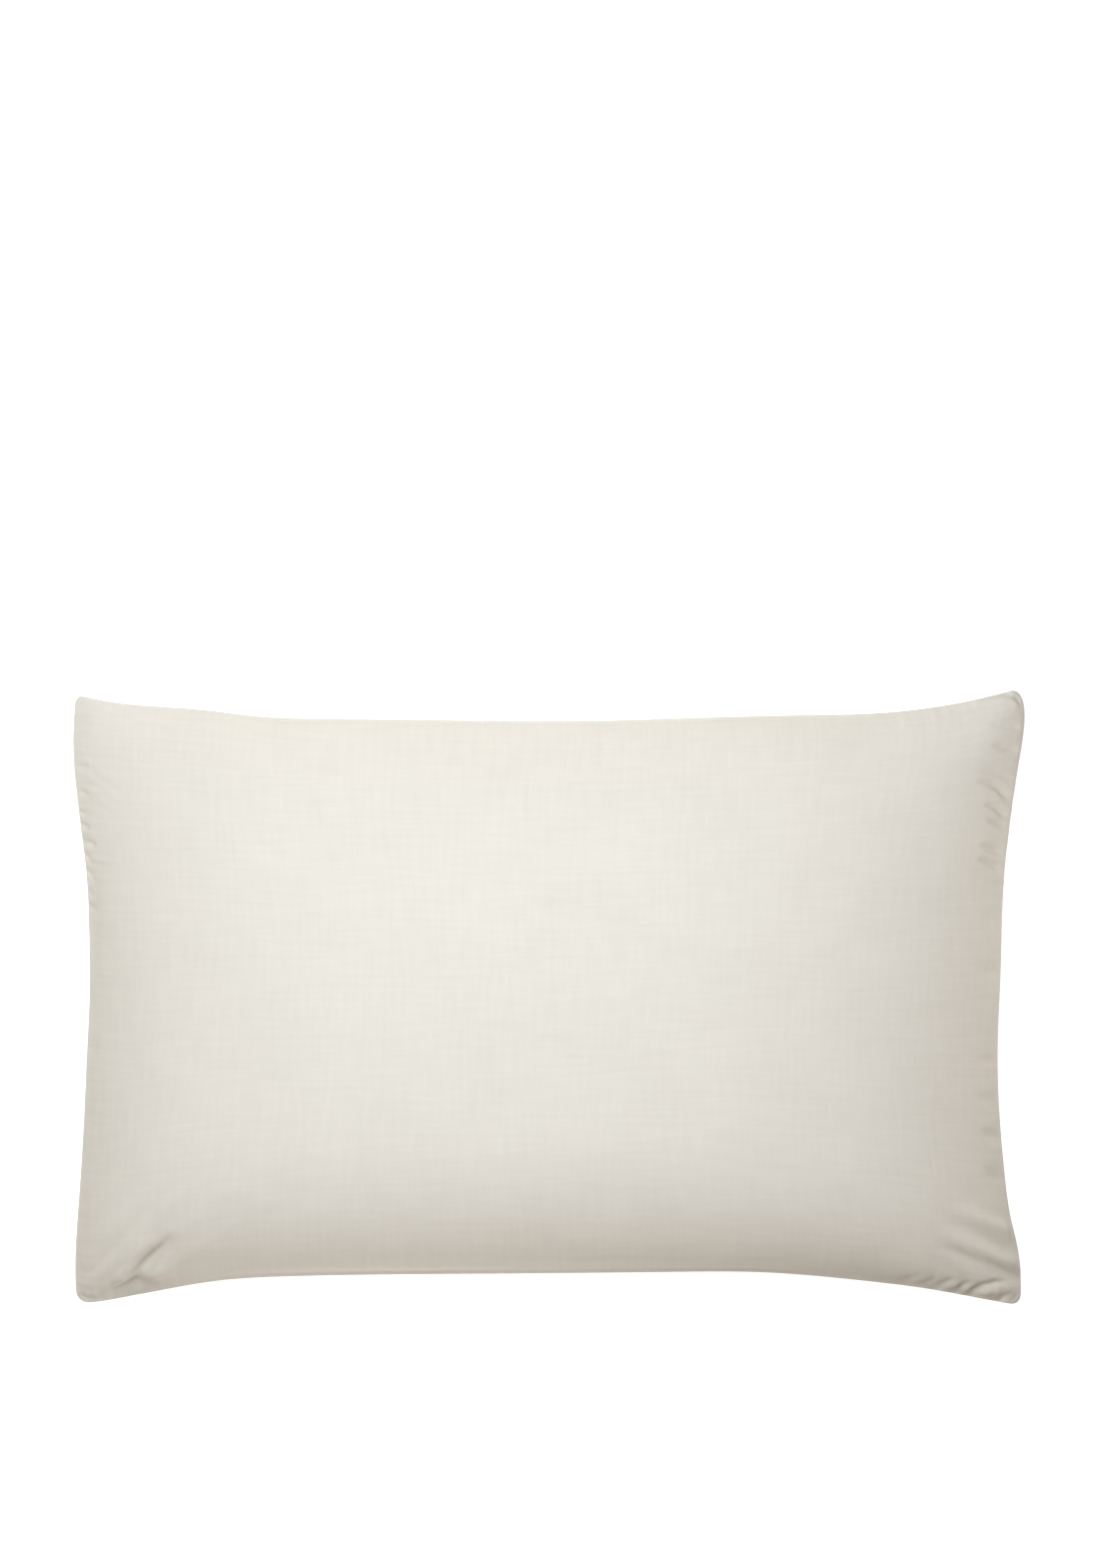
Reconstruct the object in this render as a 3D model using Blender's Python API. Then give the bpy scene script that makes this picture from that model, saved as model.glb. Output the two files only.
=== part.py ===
"""A plain pillowcase, filled by its pillow and lying on its back.

It is one closed solid. The front and the back of the case are puffed up by the filling and meet at the
seam, with a narrow pressed edge outside it. X runs along the case, Y across it and Z up from the surface
it lies on. The origin is on that surface, under the middle of the case. All sizes are in metres.
"""

from collections import namedtuple

import bpy
import numpy as np

# The four corners, each where its two sides would meet if it came to a point. `cut_x` and `cut_y` are how
# far back its rounding starts along its long and its short side, and `seam_height` is how high its tip
# floats over the surface.
Corner = namedtuple("Corner", "x y cut_x cut_y seam_height")
BOTTOM_LEFT = Corner(x=-0.3678, y=-0.2398, cut_x=0.012, cut_y=0.012, seam_height=0.012)
BOTTOM_RIGHT = Corner(x=0.3655, y=-0.2414, cut_x=0.009, cut_y=0.009, seam_height=0.010)
TOP_LEFT = Corner(x=-0.3674, y=0.2329, cut_x=0.004, cut_y=0.004, seam_height=0.024)
TOP_RIGHT = Corner(x=0.3672, y=0.2388, cut_x=0.011, cut_y=0.019, seam_height=0.018)

# How far the filling draws each side in from the straight line between its corners. `along` is the place
# on that line: 0 at the left or the bottom corner, and 1 at the other.
Draw = namedtuple("Draw", "along drawn_in")
BOTTOM_SIDE = [
    Draw(along=0.000, drawn_in=0.0000),
    Draw(along=0.035, drawn_in=0.0032),
    Draw(along=0.100, drawn_in=0.0129),
    Draw(along=0.160, drawn_in=0.0203),
    Draw(along=0.220, drawn_in=0.0233),
    Draw(along=0.380, drawn_in=0.0260),
    Draw(along=0.630, drawn_in=0.0280),
    Draw(along=0.725, drawn_in=0.0276),
    Draw(along=0.820, drawn_in=0.0217),
    Draw(along=0.910, drawn_in=0.0128),
    Draw(along=0.965, drawn_in=0.0049),
    Draw(along=1.000, drawn_in=0.0000),
]
TOP_SIDE = [
    Draw(along=0.000, drawn_in=0.0000),
    Draw(along=0.035, drawn_in=0.0056),
    Draw(along=0.130, drawn_in=0.0123),
    Draw(along=0.190, drawn_in=0.0179),
    Draw(along=0.255, drawn_in=0.0204),
    Draw(along=0.380, drawn_in=0.0221),
    Draw(along=0.520, drawn_in=0.0238),
    Draw(along=0.755, drawn_in=0.0207),
    Draw(along=0.850, drawn_in=0.0193),
    Draw(along=0.910, drawn_in=0.0146),
    Draw(along=0.970, drawn_in=0.0059),
    Draw(along=1.000, drawn_in=0.0000),
]
LEFT_SIDE = [
    Draw(along=0.000, drawn_in=0.0000),
    Draw(along=0.075, drawn_in=-0.0002),
    Draw(along=0.140, drawn_in=0.0017),
    Draw(along=0.270, drawn_in=0.0062),
    Draw(along=0.430, drawn_in=0.0100),
    Draw(along=0.520, drawn_in=0.0118),
    Draw(along=0.630, drawn_in=0.0110),
    Draw(along=0.700, drawn_in=0.0094),
    Draw(along=0.760, drawn_in=0.0060),
    Draw(along=0.825, drawn_in=0.0021),
    Draw(along=0.920, drawn_in=-0.0016),
    Draw(along=1.000, drawn_in=0.0000),
]
RIGHT_SIDE = [
    Draw(along=0.000, drawn_in=0.0000),
    Draw(along=0.050, drawn_in=0.0003),
    Draw(along=0.085, drawn_in=0.0020),
    Draw(along=0.145, drawn_in=0.0087),
    Draw(along=0.210, drawn_in=0.0134),
    Draw(along=0.370, drawn_in=0.0195),
    Draw(along=0.440, drawn_in=0.0196),
    Draw(along=0.530, drawn_in=0.0179),
    Draw(along=0.690, drawn_in=0.0153),
    Draw(along=0.755, drawn_in=0.0121),
    Draw(along=0.880, drawn_in=0.0035),
    Draw(along=0.945, drawn_in=-0.0008),
    Draw(along=1.000, drawn_in=0.0000),
]

# The pressed edge outside the seam.
EDGE_WIDTH = 0.0046
EDGE_THICKNESS = 0.0024

# The fill. The seam rises from each corner to the middle of each side, the front crowns over it and the
# back bellies under it, until it meets the surface and lies flat there.
BOTTOM_RISE = 0.050
TOP_RISE = 0.040
LEFT_RISE = 0.022
RIGHT_RISE = 0.026
SEAM_ARCH = 0.8
FRONT_CROWN = 0.060
BACK_BELLY = 0.104
FLOOR_SOFTNESS = 0.006

# The fill's outline along each way of the case: how broad its flat middle is, how round its shoulders
# are, how far the middle leans to the left or the bottom, and how near the shoulders' foot is to the seam.
Fill = namedtuple("Fill", "breadth shoulder lean foot")
FILL_ALONG = Fill(breadth=3.5, shoulder=0.42, lean=0.05, foot=0.985)
FILL_ACROSS = Fill(breadth=4.4, shoulder=0.39, lean=0.45, foot=0.985)

# Creases in the front. Each runs through its points, from the first to the last, and dies out there. A
# `height` below zero is a valley and above zero a ridge. `width` is its half width at the first point, and
# it thins to the share `thin` of that at its last.
Crease = namedtuple("Crease", "path width height thin")
CREASES = [
    # The long dent that climbs from the bottom edge near the left corner, between two soft ridges.
    Crease([(-0.332, -0.228), (-0.322, -0.211), (-0.305, -0.194), (-0.292, -0.180)], 0.0080, -0.0055, 0.45),
    Crease([(-0.341, -0.218), (-0.329, -0.200), (-0.308, -0.180)], 0.0070, 0.0020, 0.7),
    Crease([(-0.318, -0.220), (-0.303, -0.206), (-0.284, -0.196)], 0.0070, 0.0018, 0.7),
    # Folds that fan out from the bottom right corner.
    Crease([(0.354, -0.173), (0.340, -0.164), (0.318, -0.152)], 0.0080, 0.0026, 0.7),
    Crease([(0.353, -0.206), (0.340, -0.195), (0.316, -0.180)], 0.0070, 0.0034, 0.7),
    Crease([(0.353, -0.221), (0.341, -0.210), (0.317, -0.192)], 0.0065, -0.0036, 0.7),
    Crease([(0.352, -0.225), (0.338, -0.225), (0.318, -0.228)], 0.0050, -0.0024, 0.8),
    # Puckers that the seam draws up at the top of the right side.
    Crease([(0.357, 0.211), (0.350, 0.212), (0.338, 0.214)], 0.0045, -0.0022, 0.7),
    Crease([(0.355, 0.193), (0.347, 0.196), (0.336, 0.199)], 0.0045, -0.0022, 0.7),
    Crease([(0.354, 0.171), (0.345, 0.175), (0.330, 0.180)], 0.0045, -0.0028, 0.7),
    Crease([(0.352, 0.158), (0.344, 0.163), (0.330, 0.170)], 0.0045, -0.0030, 0.7),
    Crease([(0.351, 0.140), (0.344, 0.145), (0.331, 0.153)], 0.0045, -0.0030, 0.7),
    Crease([(0.347, 0.114), (0.340, 0.116), (0.329, 0.119)], 0.0050, -0.0022, 0.7),
]
# The seam holds the creases down: they have their full height once the case is this full, and none at it.
CREASE_START = 0.03
CREASE_FADE = 3

# The grid of the solid. Its lines lie closer together where a zone asks for them. A zone's `at` and
# `reach` are fractions of the case's length or width, and `extra` is how much denser it is there.
COLUMNS = 48
ROWS = 58
Zone = namedtuple("Zone", "at reach extra")
COLUMN_ZONES = [Zone(at=0.06, reach=0.07, extra=3.0), Zone(at=1.0, reach=0.06, extra=3.2)]
ROW_ZONES = [Zone(at=0.0, reach=0.11, extra=1.4), Zone(at=0.84, reach=0.12, extra=2.4)]
SIDE_SAMPLES = 400
TURN_SAMPLES = 9
STATION_SAMPLES = 2001
CREASE_SAMPLES = 24

COTTON_COLOUR = (0.80, 0.76, 0.68, 1.0)
COTTON_ROUGHNESS = 0.85


def spline(stations, values, at):
    """The natural cubic spline through the values at the stations, read at `at`."""
    stations, values, at = np.asarray(stations), np.asarray(values), np.asarray(at)
    gaps = np.diff(stations)
    bends = np.zeros(len(stations))
    system = np.diag(2 * (gaps[:-1] + gaps[1:])) + np.diag(gaps[1:-1], 1) + np.diag(gaps[1:-1], -1)
    bends[1:-1] = np.linalg.solve(system, 6 * np.diff(np.diff(values) / gaps))
    k = np.clip(np.searchsorted(stations, at) - 1, 0, len(gaps) - 1)
    past, left, gap = at - stations[k], stations[k + 1] - at, gaps[k]
    return (
        (bends[k] * left**3 + bends[k + 1] * past**3) / (6 * gap)
        + (values[k] / gap - bends[k] * gap / 6) * left
        + (values[k + 1] / gap - bends[k + 1] * gap / 6) * past
    )


def run_of(path):
    """The distance of each of a path's points from its start."""
    return np.concatenate([[0.0], np.cumsum(np.linalg.norm(np.diff(path, axis=0), axis=1))])


def walk(path, distances):
    """The points that lie these distances along a path."""
    run = run_of(path)
    return np.stack([np.interp(distances, run, axis) for axis in path.T], axis=-1)


def sharp_side(start, end, rows, inwards):
    """A side from corner to corner, as if both came to a point."""
    along = np.linspace(0.0, 1.0, SIDE_SAMPLES)
    drawn_in = spline([row.along for row in rows], [row.drawn_in for row in rows], along)
    straight = start + along[:, None] * (end - start)
    return straight + drawn_in[:, None] * np.array(inwards)


def turn(middle, tip, end):
    """Half of a corner's rounding: from its middle to where it meets a side."""
    t = np.linspace(0.0, 1.0, TURN_SAMPLES)[:, None]
    return (1 - t) ** 2 * middle + 2 * t * (1 - t) * (tip + end) / 2 + t**2 * end


def sides_of(inset):
    """The bottom, top, left and right sides, this far inside the outline, from corner middle to middle."""
    tips = {}
    for corner, to_x, to_y in (
        (BOTTOM_LEFT, 1, 1),
        (BOTTOM_RIGHT, -1, 1),
        (TOP_LEFT, 1, -1),
        (TOP_RIGHT, -1, -1),
    ):
        tips[corner] = np.array([corner.x + to_x * inset, corner.y + to_y * inset])
    ends = (
        (BOTTOM_LEFT, BOTTOM_RIGHT, BOTTOM_SIDE, (0, 1)),
        (TOP_LEFT, TOP_RIGHT, TOP_SIDE, (0, -1)),
        (BOTTOM_LEFT, TOP_LEFT, LEFT_SIDE, (1, 0)),
        (BOTTOM_RIGHT, TOP_RIGHT, RIGHT_SIDE, (-1, 0)),
    )
    sharp = [sharp_side(tips[a], tips[b], rows, inwards) for a, b, rows, inwards in ends]
    cuts = [(a.cut_x, b.cut_x) if inwards[1] else (a.cut_y, b.cut_y) for a, b, _, inwards in ends]
    met = {corner: [] for corner in tips}
    for (a, b, _, _), (cut_a, cut_b), path in zip(ends, cuts, sharp):
        met[a].append(walk(path, cut_a))
        met[b].append(walk(path, run_of(path)[-1] - cut_b))
    middles = {corner: (2 * tips[corner] + sum(met[corner])) / 4 for corner in tips}
    rounded = []
    for (a, b, _, _), (cut_a, cut_b), path in zip(ends, cuts, sharp):
        run = run_of(path)
        between = path[(run > cut_a) & (run < run[-1] - cut_b)]
        first = turn(middles[a], tips[a], walk(path, cut_a))
        last = turn(middles[b], tips[b], walk(path, run[-1] - cut_b))
        rounded.append(np.concatenate([first, between, last[::-1]]))
    return rounded


def seam_height(start, end, rise, along):
    """The seam's height along a side."""
    return start + along * (end - start) + rise * (4 * along * (1 - along)) ** SEAM_ARCH


def stations(count, zones):
    """Fractions from 0 to 1, closer together in the zones."""
    fine = np.linspace(0.0, 1.0, STATION_SAMPLES)
    density = 1 + sum(zone.extra * np.exp(-(((fine - zone.at) / zone.reach) ** 2)) for zone in zones)
    total = np.concatenate([[0.0], np.cumsum((density[1:] + density[:-1]) / 2)])
    return np.interp(np.linspace(0.0, total[-1], count + 1), total, fine)


def edge_loops(inset, columns, rows):
    """The seam line in space, this far inside the outline: bottom, top, left and right."""
    bottom, top, left, right = sides_of(inset)
    loops = []
    for path, along, start, end, rise in (
        (bottom, columns, BOTTOM_LEFT, BOTTOM_RIGHT, BOTTOM_RISE),
        (top, columns, TOP_LEFT, TOP_RIGHT, TOP_RISE),
        (left, rows, BOTTOM_LEFT, TOP_LEFT, LEFT_RISE),
        (right, rows, BOTTOM_RIGHT, TOP_RIGHT, RIGHT_RISE),
    ):
        flat = walk(path, along * run_of(path)[-1])
        height = seam_height(start.seam_height, end.seam_height, rise, along)
        loops.append(np.column_stack([flat, height]))
    return loops


def patch(loops, columns, rows):
    """The smooth sheet that the four sides span, as an array of rows by columns."""
    bottom, top, left, right = loops
    u = columns[None, :, None]
    v = rows[:, None, None]
    across = (1 - v) * bottom[None] + v * top[None]
    along = (1 - u) * left[:, None] + u * right[:, None]
    corners = (1 - v) * ((1 - u) * bottom[0] + u * bottom[-1]) + v * ((1 - u) * top[0] + u * top[-1])
    return across + along - corners


def profile(along, fill):
    """The fill's outline along one line of the case, from 0 at its ends to 1 at its middle."""
    leaning = along + fill.lean * along * (1 - along)
    bulge = (1 - np.abs((2 * leaning - 1) * fill.foot) ** fill.breadth) ** fill.shoulder
    at_seam = (1 - fill.foot**fill.breadth) ** fill.shoulder
    return (bulge - at_seam) / (1 - at_seam)


def creased(x, y):
    """How far the creases lift the front at each point."""
    lift = np.zeros_like(x)
    for crease in CREASES:
        path = np.array(crease.path)
        place = run_of(path) / run_of(path)[-1]
        t = np.linspace(0.0, 1.0, CREASE_SAMPLES)
        line = np.stack([spline(place, path[:, axis], t) for axis in (0, 1)], axis=-1)
        away = np.hypot(x[..., None] - line[:, 0], y[..., None] - line[:, 1])
        reached = t[away.argmin(axis=-1)]
        width = crease.width * (1 - (1 - crease.thin) * reached)
        lift += crease.height * (1 - reached**CREASE_FADE) * np.exp(-((away.min(axis=-1) / width) ** 2))
    return lift


def settled(height):
    """A height as it is with the surface below it: flat on it, with a soft turn where it leaves it."""
    turning = (height + FLOOR_SOFTNESS) ** 2 / (4 * FLOOR_SOFTNESS)
    return np.where(height <= -FLOOR_SOFTNESS, 0.0, np.where(height >= FLOOR_SOFTNESS, height, turning))


def ring_of(grid):
    """The outer loop of a grid of rows by columns, counterclockwise from the bottom left corner."""
    return np.concatenate([grid[0, :-1], grid[:-1, -1], grid[-1, :0:-1], grid[:0:-1, 0]])


def case_mesh():
    """The points and faces of the filled case."""
    columns = stations(COLUMNS, COLUMN_ZONES)
    rows = stations(ROWS, ROW_ZONES)
    sheet = patch(edge_loops(EDGE_WIDTH, columns, rows), columns, rows)
    outline = patch(edge_loops(0.0, columns, rows), columns, rows)
    full = profile(rows, FILL_ACROSS)[:, None] * profile(columns, FILL_ALONG)[None, :]
    half_edge = np.array([0.0, 0.0, EDGE_THICKNESS / 2])

    front = sheet + half_edge
    lift = creased(front[..., 0], front[..., 1])
    front[..., 2] += FRONT_CROWN * full + lift * np.minimum(1, full / CREASE_START)
    back = sheet - half_edge
    back[..., 2] = settled(back[..., 2] - BACK_BELLY * full)
    rim = ring_of(outline)
    points = np.concatenate([front.reshape(-1, 3), back.reshape(-1, 3), rim + half_edge, rim - half_edge])
    low, high = points.min(axis=0), points.max(axis=0)
    points[:, :2] -= (low[:2] + high[:2]) / 2

    index = np.arange(front[..., 0].size).reshape(front.shape[:2])
    front_quads = np.stack([index[:-1, :-1], index[:-1, 1:], index[1:, 1:], index[1:, :-1]], axis=-1)
    back_quads = front_quads[..., ::-1] + index.size
    inner = ring_of(index)
    upper = 2 * index.size + np.arange(len(rim))
    bands = []
    for inside, outside in ((inner, upper), (upper, upper + len(rim)), (upper + len(rim), inner + index.size)):
        bands.append(np.stack([inside, outside, np.roll(outside, -1), np.roll(inside, -1)], axis=-1))
    quads = np.concatenate([front_quads.reshape(-1, 4), back_quads.reshape(-1, 4), *bands])
    return points, quads


def cotton():
    """The plain ivory cotton of the case."""
    material = bpy.data.materials.new("ivory_cotton")
    material.use_nodes = True
    shader = material.node_tree.nodes["Principled BSDF"]
    shader.inputs["Base Color"].default_value = COTTON_COLOUR
    shader.inputs["Roughness"].default_value = COTTON_ROUGHNESS
    shader.inputs["Metallic"].default_value = 0.0
    return material


def make_pillowcase():
    points, quads = case_mesh()
    mesh = bpy.data.meshes.new("pillowcase")
    mesh.from_pydata(points.tolist(), [], quads.tolist())
    mesh.materials.append(cotton())
    mesh.shade_smooth()
    mesh.validate()
    pillowcase = bpy.data.objects.new("pillowcase", mesh)
    bpy.context.scene.collection.objects.link(pillowcase)
    return pillowcase


for leftover in list(bpy.data.objects):
    bpy.data.objects.remove(leftover)
make_pillowcase()
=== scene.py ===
"""The looks of a plain ivory pillowcase on its pillow, lying on its back and seen from straight above."""

from collections import namedtuple

import bpy
import numpy as np
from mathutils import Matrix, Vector, noise


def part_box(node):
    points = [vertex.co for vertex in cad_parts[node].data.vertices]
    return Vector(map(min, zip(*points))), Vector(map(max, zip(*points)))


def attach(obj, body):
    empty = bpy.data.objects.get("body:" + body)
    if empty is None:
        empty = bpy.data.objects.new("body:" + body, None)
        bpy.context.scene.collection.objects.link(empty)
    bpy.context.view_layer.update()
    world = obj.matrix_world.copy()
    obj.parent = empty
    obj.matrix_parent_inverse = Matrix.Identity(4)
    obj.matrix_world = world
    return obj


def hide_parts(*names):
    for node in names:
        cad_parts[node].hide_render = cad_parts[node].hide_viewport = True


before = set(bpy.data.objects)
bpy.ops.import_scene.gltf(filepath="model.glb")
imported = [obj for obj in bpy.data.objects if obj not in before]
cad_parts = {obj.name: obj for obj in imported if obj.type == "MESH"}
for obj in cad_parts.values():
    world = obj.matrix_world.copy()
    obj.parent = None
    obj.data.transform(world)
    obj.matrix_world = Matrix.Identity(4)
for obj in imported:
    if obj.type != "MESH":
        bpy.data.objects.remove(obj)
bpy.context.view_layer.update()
bpy.ops.object.select_all(action="DESELECT")


# ---- The case -----------------------------------------------------------------------------------------
# One strip of plain ivory cotton, folded and sewn into a case, turned out and filled by its pillow. The
# seam runs all round, a few millimetres inside the pressed edge, and the filling crowns the front, draws
# the sides in between the corners and gathers the cloth in small puckers along the seam.

# The four corners, each where its two sides would meet if it came to a point. `cut_x` and `cut_y` are how
# far back its rounding starts along its long and its short side, `seam_height` is how high its tip floats
# over the surface, `hang` is how far the pressed edge hangs from the seam there, and `pinch` is how much
# deeper its seam is pulled in.
Corner = namedtuple("Corner", "x y cut_x cut_y seam_height hang pinch")
BOTTOM_LEFT = Corner(-0.3678, -0.2398, cut_x=0.012, cut_y=0.012, seam_height=0.012, hang=0.0034, pinch=0.0006)
BOTTOM_RIGHT = Corner(0.3655, -0.2414, cut_x=0.009, cut_y=0.009, seam_height=0.010, hang=0.0036, pinch=0.0006)
TOP_LEFT = Corner(-0.3674, 0.2329, cut_x=0.006, cut_y=0.006, seam_height=0.024, hang=0.0024, pinch=0.0003)
TOP_RIGHT = Corner(0.3672, 0.2388, cut_x=0.011, cut_y=0.019, seam_height=0.018, hang=0.0050, pinch=0.0004)
CORNERS = (BOTTOM_LEFT, BOTTOM_RIGHT, TOP_LEFT, TOP_RIGHT)
PINCH_REACH = 0.016

# How far the filling draws each side in from the straight line between its corners. `along` is the place
# on that line: 0 at the left or the bottom corner, and 1 at the other.
Draw = namedtuple("Draw", "along drawn_in")
BOTTOM_SIDE = [
    Draw(along=0.000, drawn_in=0.0000),
    Draw(along=0.035, drawn_in=0.0032),
    Draw(along=0.100, drawn_in=0.0129),
    Draw(along=0.160, drawn_in=0.0203),
    Draw(along=0.220, drawn_in=0.0233),
    Draw(along=0.380, drawn_in=0.0260),
    Draw(along=0.630, drawn_in=0.0280),
    Draw(along=0.725, drawn_in=0.0276),
    Draw(along=0.820, drawn_in=0.0217),
    Draw(along=0.910, drawn_in=0.0128),
    Draw(along=0.965, drawn_in=0.0049),
    Draw(along=1.000, drawn_in=0.0000),
]
TOP_SIDE = [
    Draw(along=0.000, drawn_in=0.0000),
    Draw(along=0.035, drawn_in=0.0056),
    Draw(along=0.130, drawn_in=0.0123),
    Draw(along=0.190, drawn_in=0.0179),
    Draw(along=0.255, drawn_in=0.0204),
    Draw(along=0.380, drawn_in=0.0221),
    Draw(along=0.520, drawn_in=0.0238),
    Draw(along=0.755, drawn_in=0.0207),
    Draw(along=0.850, drawn_in=0.0193),
    Draw(along=0.910, drawn_in=0.0146),
    Draw(along=0.970, drawn_in=0.0059),
    Draw(along=1.000, drawn_in=0.0000),
]
LEFT_SIDE = [
    Draw(along=0.000, drawn_in=0.0000),
    Draw(along=0.075, drawn_in=-0.0002),
    Draw(along=0.140, drawn_in=0.0017),
    Draw(along=0.270, drawn_in=0.0062),
    Draw(along=0.430, drawn_in=0.0100),
    Draw(along=0.520, drawn_in=0.0118),
    Draw(along=0.630, drawn_in=0.0110),
    Draw(along=0.700, drawn_in=0.0094),
    Draw(along=0.760, drawn_in=0.0060),
    Draw(along=0.825, drawn_in=0.0021),
    Draw(along=0.920, drawn_in=-0.0016),
    Draw(along=1.000, drawn_in=0.0000),
]
RIGHT_SIDE = [
    Draw(along=0.000, drawn_in=0.0000),
    Draw(along=0.050, drawn_in=0.0003),
    Draw(along=0.085, drawn_in=0.0020),
    Draw(along=0.145, drawn_in=0.0087),
    Draw(along=0.210, drawn_in=0.0134),
    Draw(along=0.370, drawn_in=0.0195),
    Draw(along=0.440, drawn_in=0.0196),
    Draw(along=0.530, drawn_in=0.0179),
    Draw(along=0.690, drawn_in=0.0153),
    Draw(along=0.755, drawn_in=0.0121),
    Draw(along=0.880, drawn_in=0.0035),
    Draw(along=0.945, drawn_in=-0.0008),
    Draw(along=1.000, drawn_in=0.0000),
]

# The pressed edge in section, from the seam to the outer fold, and how far it hangs from the seam at the
# middle of each side.
EdgeRing = namedtuple("EdgeRing", "inset half_thickness")
SEAM = EdgeRing(inset=0.0030, half_thickness=0.0008)
EDGE_RINGS = [
    EdgeRing(inset=0.0019, half_thickness=0.0009),
    EdgeRing(inset=0.0007, half_thickness=0.0007),
    EdgeRing(inset=0.0000, half_thickness=0.0003),
]
BOTTOM_HANG = 0.0036
TOP_HANG = 0.0011
LEFT_HANG = 0.0030
RIGHT_HANG = 0.0033

# The fill. The seam rises from each corner to the middle of each side, the front crowns over it and the
# back bellies under it, until it meets the surface and lies flat there.
BOTTOM_RISE = 0.050
TOP_RISE = 0.040
LEFT_RISE = 0.022
RIGHT_RISE = 0.026
SEAM_ARCH = 0.8
BACK_BELLY = 0.104
FLOOR_SOFTNESS = 0.006

# The fill's outline along each way of the case: how broad its flat middle is, how round its shoulders
# are, how far the middle leans to the left or the bottom, and how near the shoulders' foot is to the seam.
Fill = namedtuple("Fill", "breadth shoulder lean foot")
FILL_ALONG = Fill(breadth=3.5, shoulder=0.42, lean=0.05, foot=0.985)
FILL_ACROSS = Fill(breadth=4.4, shoulder=0.39, lean=0.45, foot=0.985)
# The stitches hold the cloth flat at the seam: below this fullness it only starts to rise. The crown is
# measured where the case is well up.
SEAM_HOLD = 0.015
WELL_UP = 0.5

# The size that the case is cut to, flat, and how many of its widths the back's cut lies below the front's.
CUT_LENGTH = 0.750
CUT_WIDTH = 0.500
BACK_BELOW_FRONT = 1.2

# The grid that the cloth is worked out on. It is closer together near the seam, and along the upper part of
# the short sides, where the cloth puckers.
Zone = namedtuple("Zone", "place reach extra")
COLUMNS = 104
ROWS = 104
COLUMN_ZONES = [Zone(place=0.0, reach=0.10, extra=3.0), Zone(place=1.0, reach=0.10, extra=3.0)]
ROW_ZONES = [
    Zone(place=0.0, reach=0.07, extra=1.6),
    Zone(place=0.8, reach=0.13, extra=2.2),
    Zone(place=1.0, reach=0.07, extra=1.2),
]
LINE_SAMPLES = 2001
SIDE_SAMPLES = 800
TURN_SAMPLES = 13


def spline(stations, values, at):
    """The natural cubic spline through the values at the stations, read at `at`."""
    stations, values, at = np.asarray(stations), np.asarray(values), np.asarray(at)
    gaps = np.diff(stations)
    bends = np.zeros(len(stations))
    system = np.diag(2 * (gaps[:-1] + gaps[1:])) + np.diag(gaps[1:-1], 1) + np.diag(gaps[1:-1], -1)
    bends[1:-1] = np.linalg.solve(system, 6 * np.diff(np.diff(values) / gaps))
    k = np.clip(np.searchsorted(stations, at) - 1, 0, len(gaps) - 1)
    past, left, gap = at - stations[k], stations[k + 1] - at, gaps[k]
    return (
        (bends[k] * left**3 + bends[k + 1] * past**3) / (6 * gap)
        + (values[k] / gap - bends[k] * gap / 6) * left
        + (values[k + 1] / gap - bends[k + 1] * gap / 6) * past
    )


def run_of(path):
    """The distance of each of a path's points from its start."""
    return np.concatenate([[0.0], np.cumsum(np.linalg.norm(np.diff(path, axis=0), axis=1))])


def walk(path, distances):
    """The points that lie these distances along a path."""
    run = run_of(path)
    return np.stack([np.interp(distances, run, axis) for axis in path.T], axis=-1)


def sharp_side(start, end, rows, inwards):
    """A side from corner to corner, as if both came to a point."""
    along = np.linspace(0.0, 1.0, SIDE_SAMPLES)
    drawn_in = spline([row.along for row in rows], [row.drawn_in for row in rows], along)
    return start + along[:, None] * (end - start) + drawn_in[:, None] * np.array(inwards)


def turn(middle, tip, end):
    """Half of a corner's rounding: from its middle to where it meets a side."""
    t = np.linspace(0.0, 1.0, TURN_SAMPLES)[:, None]
    return (1 - t) ** 2 * middle + 2 * t * (1 - t) * (tip + end) / 2 + t**2 * end


def sides_of(inset):
    """The bottom, top, left and right sides, this far inside the outline, from corner middle to middle."""
    tips = {
        corner: np.array([corner.x - np.sign(corner.x) * inset, corner.y - np.sign(corner.y) * inset])
        for corner in CORNERS
    }
    ends = (
        (BOTTOM_LEFT, BOTTOM_RIGHT, BOTTOM_SIDE, (0, 1)),
        (TOP_LEFT, TOP_RIGHT, TOP_SIDE, (0, -1)),
        (BOTTOM_LEFT, TOP_LEFT, LEFT_SIDE, (1, 0)),
        (BOTTOM_RIGHT, TOP_RIGHT, RIGHT_SIDE, (-1, 0)),
    )
    sharp = [sharp_side(tips[a], tips[b], rows, inwards) for a, b, rows, inwards in ends]
    cuts = [(a.cut_x, b.cut_x) if inwards[1] else (a.cut_y, b.cut_y) for a, b, _, inwards in ends]
    met = {corner: [] for corner in tips}
    for (a, b, _, _), (cut_a, cut_b), path in zip(ends, cuts, sharp):
        met[a].append(walk(path, cut_a))
        met[b].append(walk(path, run_of(path)[-1] - cut_b))
    middles = {corner: (2 * tips[corner] + sum(met[corner])) / 4 for corner in tips}
    rounded = []
    for (a, b, _, _), (cut_a, cut_b), path in zip(ends, cuts, sharp):
        run = run_of(path)
        between = path[(run > cut_a) & (run < run[-1] - cut_b)]
        first = turn(middles[a], tips[a], walk(path, cut_a))
        last = turn(middles[b], tips[b], walk(path, run[-1] - cut_b))
        rounded.append(np.concatenate([first, between, last[::-1]]))
    return rounded


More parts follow.
